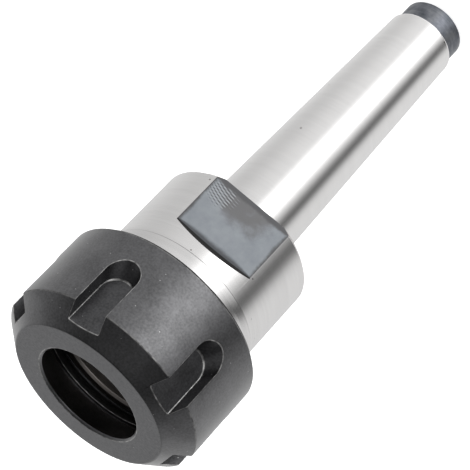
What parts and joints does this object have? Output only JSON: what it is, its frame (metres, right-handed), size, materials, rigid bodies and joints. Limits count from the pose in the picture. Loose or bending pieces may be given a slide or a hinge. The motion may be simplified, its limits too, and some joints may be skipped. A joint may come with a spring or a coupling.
{
  "type": "collet chuck holder",
  "caption": "Collet chuck on a Morse taper shank: ground taper with drawbar thread, collar with wrench flats, and a slotted black clamping nut over a tapered collet seat.",
  "frame": {"origin": "centre of the tail end face of the shank", "axes": "+Z along the tool axis from the tail to the clamping nut; -Y is the outward normal of one wrench flat"},
  "size_m": [0.042, 0.042, 0.1133],
  "materials": {
    "ground_steel": "ground",
    "black_oxide_steel": "black oxide, satin"
  },
  "bodies": {
    "chuck_body": {"chuck_body": "ground_steel"},
    "clamping_nut": {"clamping_nut": "black_oxide_steel"}
  },
  "joints": [
    {"name": "nut_turn", "type": "hinge", "parent": "chuck_body", "child": "clamping_nut", "pos_m": [0, 0, 0.1], "axis": [0, 0, 1], "range_deg": [0, 2112]}
  ]
}
